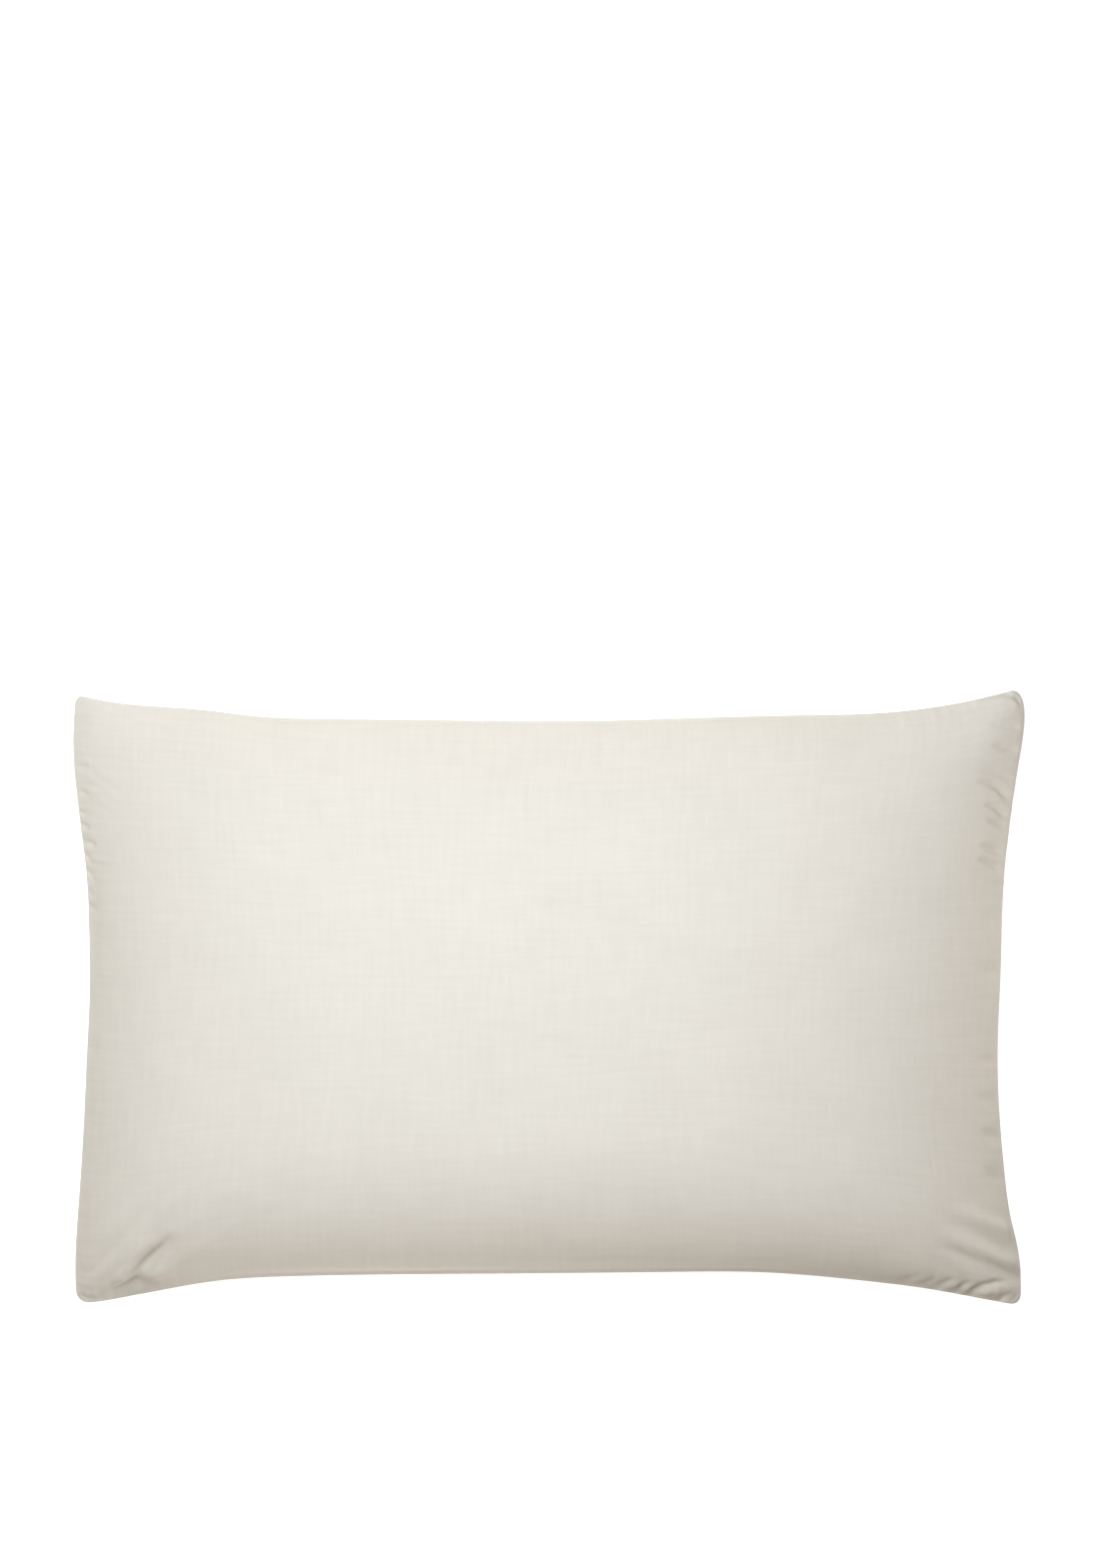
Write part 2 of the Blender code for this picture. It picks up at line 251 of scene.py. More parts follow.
def grid_lines(count, zones):
    """Where the grid's lines lie from 0 to 1, closer together in the zones."""
    fine = np.linspace(0.0, 1.0, LINE_SAMPLES)
    density = 1 + sum(zone.extra * np.exp(-(((fine - zone.place) / zone.reach) ** 2)) for zone in zones)
    total = np.concatenate([[0.0], np.cumsum((density[1:] + density[:-1]) / 2)])
    return np.interp(np.linspace(0.0, total[-1], count + 1), total, fine)


def edge_loops(inset, columns, rows):
    """The edge's line in space, this far inside the outline: bottom, top, left and right."""
    bottom, top, left, right = sides_of(inset)
    outwards = 1 - inset / SEAM.inset
    loops = []
    for path, along, start, end, rise, middle_hang in (
        (bottom, columns, BOTTOM_LEFT, BOTTOM_RIGHT, BOTTOM_RISE, BOTTOM_HANG),
        (top, columns, TOP_LEFT, TOP_RIGHT, TOP_RISE, TOP_HANG),
        (left, rows, BOTTOM_LEFT, TOP_LEFT, LEFT_RISE, LEFT_HANG),
        (right, rows, BOTTOM_RIGHT, TOP_RIGHT, RIGHT_RISE, RIGHT_HANG),
    ):
        flat = walk(path, along * run_of(path)[-1])
        arch = (4 * along * (1 - along)) ** SEAM_ARCH
        straight = start.seam_height + along * (end.seam_height - start.seam_height)
        hang = (1 - arch) * (start.hang + along * (end.hang - start.hang)) + arch * middle_hang
        loops.append(np.column_stack([flat, straight + rise * arch - hang * outwards]))
    return loops


def patch(loops, columns, rows):
    """The smooth sheet that the four sides span, as an array of rows by columns."""
    bottom, top, left, right = loops
    u = columns[None, :, None]
    v = rows[:, None, None]
    across = (1 - v) * bottom[None] + v * top[None]
    along = (1 - u) * left[:, None] + u * right[:, None]
    corners = (1 - v) * ((1 - u) * bottom[0] + u * bottom[-1]) + v * ((1 - u) * top[0] + u * top[-1])
    return across + along - corners


def profile(along, fill):
    """The fill's outline along one line of the case, from 0 at its ends to 1 at its middle."""
    leaning = along + fill.lean * along * (1 - along)
    bulge = (1 - np.abs((2 * leaning - 1) * fill.foot) ** fill.breadth) ** fill.shoulder
    at_seam = (1 - fill.foot**fill.breadth) ** fill.shoulder
    return (bulge - at_seam) / (1 - at_seam)


def settled(height):
    """A height as it is with the surface below it: flat on it, with a soft turn where it leaves it."""
    turning = (height + FLOOR_SOFTNESS) ** 2 / (4 * FLOOR_SOFTNESS)
    return np.where(height <= -FLOOR_SOFTNESS, 0.0, np.where(height >= FLOOR_SOFTNESS, height, turning))


def ring_of(grid):
    """The outer loop of a grid of rows by columns, counterclockwise from the bottom left corner."""
    return np.concatenate([grid[0, :-1], grid[:-1, -1], grid[-1, :0:-1], grid[:0:-1, 0]])


def quads_of(index):
    """The faces of a grid of point numbers, facing up."""
    return np.stack([index[:-1, :-1], index[:-1, 1:], index[1:, 1:], index[1:, :-1]], axis=-1).reshape(-1, 4)


def band(inside, outside):
    """The faces between two loops of point numbers."""
    return np.stack([inside, outside, np.roll(outside, -1), np.roll(inside, -1)], axis=-1)


def object_of(name, points, quads):
    """A new mesh object in the scene, smooth shaded."""
    mesh = bpy.data.meshes.new(name)
    mesh.from_pydata(points.tolist(), [], quads.tolist())
    mesh.shade_smooth()
    made = bpy.data.objects.new(name, mesh)
    bpy.context.scene.collection.objects.link(made)
    return made


def coordinates(mesh):
    """A mesh's points as an array."""
    values = np.empty(len(mesh.vertices) * 3, np.float32)
    mesh.vertices.foreach_get("co", values)
    return values.reshape(-1, 3).astype(float)


# The start of the cloth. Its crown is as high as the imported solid's, and it lies in the middle of its box.
solid_low, solid_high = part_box("pillowcase")
columns = grid_lines(COLUMNS, COLUMN_ZONES)
rows = grid_lines(ROWS, ROW_ZONES)
outline = ring_of(patch(edge_loops(0.0, columns, rows), columns, rows))
middle = (outline.min(axis=0) + outline.max(axis=0)) / 2
centre = [(solid_low.x + solid_high.x) / 2, (solid_low.y + solid_high.y) / 2, middle[2]]
centring = np.array(centre) - middle
seam_sheet = patch(edge_loops(SEAM.inset, columns, rows), columns, rows) + centring
full = profile(rows, FILL_ACROSS)[:, None] * profile(columns, FILL_ALONG)[None, :]
rising = (1 + SEAM_HOLD) * full**2 / (full + SEAM_HOLD)
well_up = rising > WELL_UP
room = solid_high.z - SEAM.half_thickness - seam_sheet[..., 2]
front_crown = (room[well_up] / rising[well_up]).min()
front = seam_sheet.copy()
front[..., 2] += SEAM.half_thickness + front_crown * rising
back = seam_sheet.copy()
back[..., 2] = settled(back[..., 2] - SEAM.half_thickness - BACK_BELLY * rising)

# The cloth is blown up against its seam, with springs as long as the flat cut. Where the seam has drawn
# the cloth together, what is left over gathers by itself. No point moves further than MOST_MOVE.
FILL_PRESSURE = 12.0
FILL_FRAMES = 20
CLOTH_MASS = 0.02
CLOTH_STIFFNESS = 12.0
CLOTH_SHEAR = 4.0
CLOTH_BENDING = 0.4
MOST_MOVE = 0.004


def blown_up(front, back):
    """The front and the back as the simulated cloth leaves them."""
    index = np.arange(front[..., 0].size).reshape(front.shape[:2])
    points = np.concatenate([front.reshape(-1, 3), back.reshape(-1, 3)])
    front_seam, back_seam = ring_of(index), ring_of(index) + index.size
    quads = [quads_of(index), quads_of(index)[:, ::-1] + index.size, band(front_seam, back_seam)]
    cloth = object_of("cloth_to_fill", points, np.concatenate(quads))
    held = cloth.vertex_groups.new(name="held")
    on_seam = np.concatenate([front_seam, back_seam])
    on_floor = np.flatnonzero(points[:, 2] <= 0.0)
    held.add(np.concatenate([on_seam, on_floor]).tolist(), 1.0, "REPLACE")

    cloth.shape_key_add(name="filled")
    cut = np.stack(np.meshgrid(columns * CUT_LENGTH, rows * CUT_WIDTH), axis=-1).reshape(-1, 2)
    flat = np.column_stack([np.concatenate([cut, cut]), np.zeros(len(points))])
    flat_cut = cloth.shape_key_add(name="flat_cut")
    flat_cut.data.foreach_set("co", flat.astype(np.float32).ravel())

    modifier = cloth.modifiers.new("filling", "CLOTH")
    settings = modifier.settings
    settings.vertex_group_mass = "held"
    settings.rest_shape_key = flat_cut
    settings.mass = CLOTH_MASS
    settings.use_pressure = True
    settings.uniform_pressure_force = FILL_PRESSURE
    settings.tension_stiffness = CLOTH_STIFFNESS
    settings.compression_stiffness = CLOTH_STIFFNESS
    settings.shear_stiffness = CLOTH_SHEAR
    settings.bending_stiffness = CLOTH_BENDING
    settings.effector_weights.gravity = 0.0
    modifier.point_cache.frame_start = 1
    modifier.point_cache.frame_end = FILL_FRAMES
    for number in range(1, FILL_FRAMES + 1):
        bpy.context.scene.frame_set(number)
    evaluated = cloth.evaluated_get(bpy.context.evaluated_depsgraph_get())
    moved = coordinates(evaluated.to_mesh()) - points
    evaluated.to_mesh_clear()
    bpy.context.scene.frame_set(1)
    bpy.data.objects.remove(cloth)
    far = np.linalg.norm(moved, axis=1, keepdims=True)
    points += moved * np.minimum(1.0, MOST_MOVE / np.maximum(far, 1e-9))
    points[:, 2] = np.maximum(points[:, 2], 0.0)
    return points[: index.size].reshape(front.shape), points[index.size :].reshape(back.shape)


front, back = blown_up(front, back)

# The seam is pulled deeper at the corners, where the cloth was turned out.
on_border = np.zeros(full.shape, bool)
on_border[[0, -1], :] = on_border[:, [0, -1]] = True
for corner in CORNERS:
    away = np.hypot(seam_sheet[..., 0] - corner.x, seam_sheet[..., 1] - corner.y)
    pinched = corner.pinch * np.exp(-((away / PINCH_REACH) ** 2)) * on_border
    front[..., 2] -= pinched
    back[..., 2] -= pinched

# The case is put together: the front, the back, and the rings of the pressed edge over and under.
upper, lower = [], []
for ring in EDGE_RINGS:
    loop = ring_of(patch(edge_loops(ring.inset, columns, rows), columns, rows)) + centring
    upper.append(loop + [0.0, 0.0, ring.half_thickness])
    lower.append(loop - [0.0, 0.0, ring.half_thickness])
panel = np.arange(full.size).reshape(full.shape)
loops = [ring_of(panel)]
for number in range(2 * len(EDGE_RINGS)):
    loops.append(2 * panel.size + number * len(outline) + np.arange(len(outline)))
loops.append(ring_of(panel) + panel.size)
case_points = np.concatenate([front.reshape(-1, 3), back.reshape(-1, 3), *upper, *lower[::-1]])
bands = [band(inside, outside) for inside, outside in zip(loops[:-1], loops[1:])]
front_quads = [quads_of(panel)] + bands[: len(EDGE_RINGS) + 1]
back_quads = bands[len(EDGE_RINGS) + 1 :] + [quads_of(panel)[:, ::-1] + panel.size]
case_quads = np.concatenate(front_quads + back_quads)
case = object_of("case", case_points, case_quads)

# Each point's place on the flat cut, for the weave. The back's cut lies below the front's.
cut_panel = np.stack(np.meshgrid(columns * CUT_LENGTH, rows * CUT_WIDTH), axis=-1)
cut_ring = ring_of(cut_panel)
cut_middle = np.array([CUT_LENGTH, CUT_WIDTH]) / 2
cut_rings = []
for ring in EDGE_RINGS:
    reach = (cut_middle + SEAM.inset - ring.inset) / cut_middle
    cut_rings.append(cut_middle + (cut_ring - cut_middle) * reach)
cut_all = np.concatenate([cut_panel.reshape(-1, 2)] * 2 + cut_rings + cut_rings[::-1])
weave_map = cut_all[case_quads]
weave_map[sum(len(part) for part in front_quads) :, :, 1] -= BACK_BELOW_FRONT * CUT_WIDTH
case.data.uv_layers.new(name="cut").data.foreach_set("uv", weave_map.astype(np.float32).ravel())

# What the creases need to know at each point, once the mesh is finer: how full the case is there, where on
# the flat cut it is, and whether it is on the front or on the pressed edge.
points_of_rings = 2 * len(EDGE_RINGS) * len(outline)
known = {
    "full": np.concatenate([full.ravel(), full.ravel(), np.zeros(points_of_rings)]),
    "cut_x": cut_all[:, 0],
    "cut_y": cut_all[:, 1],
    "front": np.arange(len(case_points)) < panel.size,
    "edge": np.concatenate([on_border.ravel(), on_border.ravel(), np.ones(points_of_rings)]),
}
for name, values in known.items():
    case.data.attributes.new(name, "FLOAT", "POINT").data.foreach_set("value", values.astype(np.float32))
finer = case.modifiers.new("finer", "SUBSURF")
finer.levels = finer.render_levels = 1
bpy.context.view_layer.objects.active = case
bpy.ops.object.modifier_apply(modifier=finer.name)

# Creases in the front, the main ones as in the solid. Each runs through its points, from the first to the
# last, and dies out there. `width` is its half width at the first point, and it thins to the share `thin`
# of that at its last. A `height` below zero is a valley and above zero a ridge.
Crease = namedtuple("Crease", "path width height thin")
CREASES = [
    # The long dent that climbs from the bottom edge near the left corner, between two soft ridges, then the
    # fullness beside its foot, and the edge that is drawn down under both.
    Crease(
        [
            (-0.3235, -0.2300), (-0.3180, -0.2180), (-0.3125, -0.2090), (-0.3060, -0.2005),
            (-0.2990, -0.1925), (-0.2880, -0.1800),
        ],
        width=0.0112, height=-0.0096, thin=0.34,
    ),
    Crease(
        [(-0.3290, -0.2170), (-0.3220, -0.2040), (-0.3130, -0.1920), (-0.3020, -0.1830)],
        width=0.0064, height=0.0036, thin=0.7,
    ),
    Crease(
        [(-0.3080, -0.2160), (-0.3030, -0.2080), (-0.2970, -0.2010), (-0.2900, -0.1940)],
        width=0.0040, height=0.0014, thin=0.7,
    ),
    Crease([(-0.3120, -0.2160), (-0.2990, -0.2120), (-0.2850, -0.2080)], width=0.0070, height=0.0030, thin=0.8),
    Crease(
        [(-0.3360, -0.2345), (-0.3220, -0.2325), (-0.3100, -0.2300), (-0.2900, -0.2260)],
        width=0.0075, height=-0.0065, thin=0.8,
    ),
    # The softer roll to the right of it, over the bottom edge.
    Crease(
        [(-0.3050, -0.2220), (-0.2860, -0.2110), (-0.2620, -0.2020), (-0.2220, -0.1990)],
        width=0.0080, height=-0.0020, thin=0.9,
    ),
    # Folds that fan out from the bottom right corner.
    Crease(
        [(0.3600, -0.1826), (0.3540, -0.1799), (0.3364, -0.1719), (0.3188, -0.1639), (0.3080, -0.1590)],
        width=0.0056, height=0.0026, thin=0.8,
    ),
    Crease(
        [(0.3620, -0.1976), (0.3566, -0.1948), (0.3352, -0.1838), (0.3138, -0.1727), (0.3010, -0.1661)],
        width=0.0056, height=-0.0026, thin=0.8,
    ),
    Crease(
        [(0.3630, -0.2086), (0.3582, -0.2063), (0.3346, -0.1949), (0.3111, -0.1834), (0.2960, -0.1760)],
        width=0.0054, height=0.0028, thin=0.8,
    ),
    Crease(
        [(0.3630, -0.2170), (0.3585, -0.2151), (0.3345, -0.2048), (0.3104, -0.1945), (0.2960, -0.1883)],
        width=0.0050, height=-0.0026, thin=0.8,
    ),
    Crease(
        [(0.3240, -0.2310), (0.3310, -0.2255), (0.3380, -0.2230), (0.3520, -0.2205), (0.3600, -0.2215)],
        width=0.0030, height=-0.0032, thin=0.9,
    ),
    Crease([(0.3360, -0.2300), (0.3425, -0.2290), (0.3500, -0.2270)], width=0.0028, height=0.0010, thin=0.8),
    Crease([(0.3450, -0.2365), (0.3530, -0.2325), (0.3600, -0.2295)], width=0.0026, height=-0.0026, thin=0.8),
    # Puckers that lean out of the bottom edge beside them, with light swells between.
    Crease([(0.2680, -0.2220), (0.2780, -0.2175), (0.2880, -0.2140)], width=0.0030, height=-0.0020, thin=0.8),
    Crease([(0.2830, -0.2245), (0.2920, -0.2200), (0.3010, -0.2165)], width=0.0028, height=-0.0022, thin=0.8),
    Crease([(0.2950, -0.2270), (0.3030, -0.2215), (0.3130, -0.2175)], width=0.0028, height=-0.0024, thin=0.8),
    Crease([(0.3030, -0.2285), (0.3110, -0.2235), (0.3200, -0.2200)], width=0.0028, height=0.0012, thin=0.8),
    Crease([(0.3100, -0.2300), (0.3170, -0.2245), (0.3260, -0.2200)], width=0.0026, height=-0.0026, thin=0.8),
    Crease([(0.3180, -0.2310), (0.3250, -0.2255), (0.3320, -0.2215)], width=0.0024, height=0.0012, thin=0.8),
    # The front's fold rounds the top right corner inside the back's.
    Crease(
        [(0.3300, 0.2285), (0.3430, 0.2305), (0.3530, 0.2312), (0.3600, 0.2290), (0.3640, 0.2230)],
        width=0.0024, height=0.0028, thin=0.9,
    ),
    Crease(
        [(0.3400, 0.2345), (0.3520, 0.2350), (0.3605, 0.2330), (0.3655, 0.2270)],
        width=0.0020, height=-0.0034, thin=0.9,
    ),
    # Puckers that the seam draws up at the top of the right side.
    Crease([(0.3610, 0.2100), (0.3500, 0.2105), (0.3400, 0.2115)], width=0.0030, height=-0.0018, thin=0.8),
    Crease([(0.3610, 0.1915), (0.3520, 0.1935), (0.3420, 0.1955)], width=0.0030, height=-0.0024, thin=0.8),
    Crease([(0.3590, 0.1690), (0.3450, 0.1740), (0.3310, 0.1775)], width=0.0032, height=-0.0024, thin=0.8),
    Crease(
        [(0.3590, 0.1520), (0.3510, 0.1600), (0.3430, 0.1650), (0.3290, 0.1670)],
        width=0.0040, height=-0.0046, thin=0.5,
    ),
    Crease(
        [(0.3570, 0.1370), (0.3510, 0.1430), (0.3450, 0.1470), (0.3350, 0.1495)],
        width=0.0038, height=-0.0044, thin=0.5,
    ),
    Crease([(0.3550, 0.1310), (0.3480, 0.1345), (0.3360, 0.1380)], width=0.0034, height=-0.0034, thin=0.5),
    Crease([(0.3530, 0.1120), (0.3450, 0.1150), (0.3320, 0.1190)], width=0.0044, height=-0.0044, thin=0.5),
    Crease([(0.3510, 0.0985), (0.3430, 0.1035), (0.3300, 0.1085)], width=0.0038, height=-0.0042, thin=0.5),
    Crease([(0.3490, 0.0860), (0.3410, 0.0885), (0.3350, 0.0905)], width=0.0028, height=-0.0014, thin=0.8),
    # Finer puckers down the rest of the right side.
    Crease([(0.3460, 0.0600), (0.3390, 0.0610), (0.3320, 0.0630)], width=0.0030, height=-0.0016, thin=0.8),
    Crease([(0.3440, 0.0210), (0.3370, 0.0215), (0.3290, 0.0210)], width=0.0030, height=-0.0014, thin=0.8),
    Crease([(0.3440, -0.0480), (0.3350, -0.0470), (0.3290, -0.0465)], width=0.0030, height=-0.0016, thin=0.8),
    Crease([(0.3450, -0.0810), (0.3370, -0.0785), (0.3300, -0.0770)], width=0.0030, height=-0.0018, thin=0.8),
    Crease([(0.3480, -0.1090), (0.3390, -0.1055), (0.3320, -0.1030)], width=0.0032, height=-0.0020, thin=0.8),
    Crease([(0.3520, -0.1410), (0.3430, -0.1365), (0.3350, -0.1330)], width=0.0032, height=-0.0020, thin=0.8),
    # Short gathers under the seam of the left side.
    Crease([(-0.3650, 0.1790), (-0.3610, 0.1785), (-0.3570, 0.1790)], width=0.0022, height=-0.0014, thin=0.7),
    Crease([(-0.3640, 0.1600), (-0.3600, 0.1590), (-0.3570, 0.1560)], width=0.0024, height=-0.0026, thin=0.7),
    Crease([(-0.3630, 0.1440), (-0.3600, 0.1430), (-0.3580, 0.1400)], width=0.0020, height=-0.0022, thin=0.7),
    Crease([(-0.3620, 0.1350), (-0.3580, 0.1320), (-0.3560, 0.1290)], width=0.0022, height=-0.0028, thin=0.7),
    Crease([(-0.3600, 0.1215), (-0.3560, 0.1195), (-0.3490, 0.1180)], width=0.0030, height=-0.0024, thin=0.7),
    Crease([(-0.3590, 0.1120), (-0.3560, 0.1080), (-0.3545, 0.1030)], width=0.0020, height=-0.0026, thin=0.7),
    Crease([(-0.3570, 0.0990), (-0.3540, 0.0950), (-0.3520, 0.0900)], width=0.0020, height=-0.0026, thin=0.7),
    Crease([(-0.3560, 0.0830), (-0.3535, 0.0800), (-0.3500, 0.0780)], width=0.0020, height=-0.0018, thin=0.7),
    Crease([(-0.3560, 0.0712), (-0.3530, 0.0700), (-0.3490, 0.0695)], width=0.0020, height=-0.0034, thin=0.7),
    Crease([(-0.3550, 0.0400), (-0.3510, 0.0405), (-0.3460, 0.0400)], width=0.0026, height=-0.0012, thin=0.8),
    Crease(
        [(-0.3560, -0.0400), (-0.3520, -0.0395), (-0.3470, -0.0400)],
        width=0.0026, height=-0.0012, thin=0.8,
    ),
    Crease(
        [(-0.3610, -0.0900), (-0.3560, -0.0890), (-0.3500, -0.0885)],
        width=0.0026, height=-0.0012, thin=0.8,
    ),
]
# The seam holds the creases down: they have their full height once the case is this full, and this share
# of it on the pressed edge.
CREASE_START = 0.10
CREASE_AT_SEAM = 0.7
CREASE_FADE = 3
CREASE_SAMPLES = 40
CREASE_REACH = 3.0

# The seam gathers the cloth a little all round. Each gather is about this long, this high, and reaches
# this far in.
GATHER_LENGTH = 0.0075
GATHER_HEIGHT = 0.0004
GATHER_REACH = 0.014
GATHER_SEED = 7

# The filling is never quite even: soft lumps, by how wide and how high they are.
Lump = namedtuple("Lump", "width height")
LUMPS = [Lump(width=0.110, height=0.0012), Lump(width=0.034, height=0.0003)]
LUMP_START = 0.25
LUMP_OVER_FLOOR = 0.004


def creased(x, y, creases):
    """How far the creases lift the cloth at each point."""
    lift = np.zeros_like(x)
    for crease in creases:
        path = np.array(crease.path)
        place = run_of(path) / run_of(path)[-1]
        t = np.linspace(0.0, 1.0, CREASE_SAMPLES)
        line = np.stack([spline(place, path[:, axis], t) for axis in (0, 1)], axis=-1)
        low = line.min(axis=0) - CREASE_REACH * crease.width
        high = line.max(axis=0) + CREASE_REACH * crease.width
        near = np.flatnonzero((x > low[0]) & (x < high[0]) & (y > low[1]) & (y < high[1]))
        away = np.hypot(x[near, None] - line[:, 0], y[near, None] - line[:, 1])
        reached = t[away.argmin(axis=1)]
        width = crease.width * (1 - (1 - crease.thin) * reached)
        lift[near] += crease.height * (1 - reached**CREASE_FADE) * np.exp(-((away.min(axis=1) / width) ** 2))
    return lift


def gathered(x, y):
    """How far the seam's gathers lift the cloth, for each place on the flat cut."""
    chance = np.random.default_rng(GATHER_SEED)
    lift = np.zeros_like(x)
    for along, length, across, width in ((x, CUT_LENGTH, y, CUT_WIDTH), (y, CUT_WIDTH, x, CUT_LENGTH)):
        knots = np.linspace(-GATHER_LENGTH, length + GATHER_LENGTH, int(2 * length / GATHER_LENGTH))
        for from_side in (across, width - across):
            wave = spline(knots, chance.uniform(-1.0, 1.0, len(knots)), along)
            lift += GATHER_HEIGHT * wave * np.exp(-((from_side / GATHER_REACH) ** 2))
    return lift


def lumpy(points):
    """How far the uneven filling lifts the cloth at each point."""
    lift = np.zeros(len(points))
    for lump in LUMPS:
        lift += [lump.height * noise.noise(Vector(point) / lump.width) for point in points]
    return lift


def attribute(mesh, name):
    """A point attribute's values."""
    values = np.empty(len(mesh.vertices), np.float32)
    mesh.attributes[name].data.foreach_get("value", values)
    return values.astype(float)


points = coordinates(case.data)
normals = np.empty(len(points) * 3, np.float32)
case.data.vertices.foreach_get("normal", normals)
normals = normals.reshape(-1, 3).astype(float)
fullness, at_front, at_edge = [attribute(case.data, name) for name in ("full", "front", "edge")]
cut_x, cut_y = attribute(case.data, "cut_x"), attribute(case.data, "cut_y")
held_down = CREASE_AT_SEAM + (1 - CREASE_AT_SEAM) * np.minimum(1, fullness / CREASE_START)
lift = (creased(points[:, 0], points[:, 1], CREASES) + gathered(cut_x, cut_y)) * held_down
up = np.array([0.0, 0.0, 1.0])
directions = at_edge[:, None] * up + ((1 - at_edge) * at_front)[:, None] * normals
lumps = lumpy(points) * np.minimum(1, fullness / LUMP_START) * np.minimum(1, points[:, 2] / LUMP_OVER_FLOOR)
points += lift[:, None] * directions + lumps[:, None] * normals
points[:, 2] = np.maximum(points[:, 2], 0.0)
case.data.vertices.foreach_set("co", points.astype(np.float32).ravel())
case.data.update()
for name in known:
    case.data.attributes.remove(case.data.attributes[name])

# Plain cotton in plain weave, worked on the flat cut in metres. Thicker places in the yarn show as faint
# streaks both ways, and the yarn's colour drifts a little over the cloth.
IVORY = (0.795, 0.752, 0.668)
IVORY_SPREAD = 0.10
YARN_PITCH = 0.00042
YARN_HEIGHT = 0.00004
WAVE_TEXTURE_TURN = 0.3141593
SLUB_LENGTH = 0.045
SLUB_WIDTH = 0.0042
SLUB_HEIGHT = 0.00010
WEFT_SHARE = 0.5
DRIFT_WIDTH = 0.060
DRIFT_SHARE = 0.25
STREAK_DETAIL = 2.0
COTTON_ROUGHNESS = (0.84, 0.92)
COTTON_SPECULAR = 0.25


def reckoned(tree, operation, first, second=0.0):
    """A material's math node: its result from two sockets or numbers."""
    node = tree.nodes.new("ShaderNodeMath")
    node.operation = operation
    for socket, value in zip(node.inputs, (first, second)):
        if isinstance(value, float):
            socket.default_value = value
        else:
            tree.links.new(value, socket)
    return node.outputs["Value"]


def cotton():
    """Ivory cotton in plain weave."""
    material = bpy.data.materials.new("ivory_cotton")
    material.use_nodes = True
    tree = material.node_tree
    nodes, links = tree.nodes, tree.links
    shader = nodes["Principled BSDF"]
    cut_map = nodes.new("ShaderNodeUVMap")
    cut_map.uv_map = "cut"

    def mixed(first, second, share):
        """Two sockets in the shares that are left and given."""
        left, given = reckoned(tree, "MULTIPLY", first, 1 - share), reckoned(tree, "MULTIPLY", second, share)
        return reckoned(tree, "ADD", left, given)

    def streaks(scale):
        """Noise on the flat cut, stretched by the scale along each way."""
        mapping = nodes.new("ShaderNodeMapping")
        mapping.inputs["Scale"].default_value = (*scale, 1.0)
        links.new(cut_map.outputs["UV"], mapping.inputs["Vector"])
        texture = nodes.new("ShaderNodeTexNoise")
        texture.inputs["Scale"].default_value = 1.0
        texture.inputs["Detail"].default_value = STREAK_DETAIL
        links.new(mapping.outputs["Vector"], texture.inputs["Vector"])
        return texture.outputs["Fac"]

    def threads(direction):
        """The waves that threads this way make."""
        wave = nodes.new("ShaderNodeTexWave")
        wave.bands_direction = direction
        wave.inputs["Scale"].default_value = WAVE_TEXTURE_TURN / YARN_PITCH
        links.new(cut_map.outputs["UV"], wave.inputs["Vector"])
        return wave.outputs["Fac"]

    def bump(height, distance, under=None):
        """A bump of this real height, over another."""
        node = nodes.new("ShaderNodeBump")
        node.inputs["Distance"].default_value = distance
        links.new(height, node.inputs["Height"])
        if under is not None:
            links.new(under, node.inputs["Normal"])
        return node.outputs["Normal"]

    weft = streaks((1 / SLUB_LENGTH, 1 / SLUB_WIDTH))
    warp = streaks((1 / SLUB_WIDTH, 1 / SLUB_LENGTH))
    drift = streaks((1 / DRIFT_WIDTH, 1 / DRIFT_WIDTH))
    slub = mixed(warp, weft, WEFT_SHARE)
    tone = mixed(slub, drift, DRIFT_SHARE)

    colour = nodes.new("ShaderNodeMix")
    colour.data_type = "RGBA"
    colour.inputs["A"].default_value = (*(channel * (1 - IVORY_SPREAD) for channel in IVORY), 1.0)
    colour.inputs["B"].default_value = (*(channel * (1 + IVORY_SPREAD) for channel in IVORY), 1.0)
    links.new(tone, colour.inputs["Factor"])
    links.new(colour.outputs["Result"], shader.inputs["Base Color"])
    roughness = nodes.new("ShaderNodeMapRange")
    roughness.inputs["To Min"].default_value, roughness.inputs["To Max"].default_value = COTTON_ROUGHNESS
    links.new(tone, roughness.inputs["Value"])
    links.new(roughness.outputs["Result"], shader.inputs["Roughness"])
    woven = bump(reckoned(tree, "MULTIPLY", threads("X"), threads("Y")), YARN_HEIGHT)
    links.new(bump(slub, SLUB_HEIGHT, under=woven), shader.inputs["Normal"])
    shader.inputs["Specular IOR Level"].default_value = COTTON_SPECULAR
    return material


case.data.materials.append(cotton())
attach(case, "root")
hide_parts("pillowcase")


# ---- The studio ---------------------------------------------------------------------------------------
# A plain white floor with a glow of its own, a large soft key light above and a little to the upper left, a
# faint warm light all round, and the camera straight above, on the middle of the photograph.
FLOOR_SIZE = 30.0
# The floor lies a hair lower than the flat of the case, so that the two never show through each other.
FLOOR_GAP = 0.0002
FLOOR_GREY = 0.7
FLOOR_ROUGHNESS = 0.9
FLOOR_GLOW = 0.95
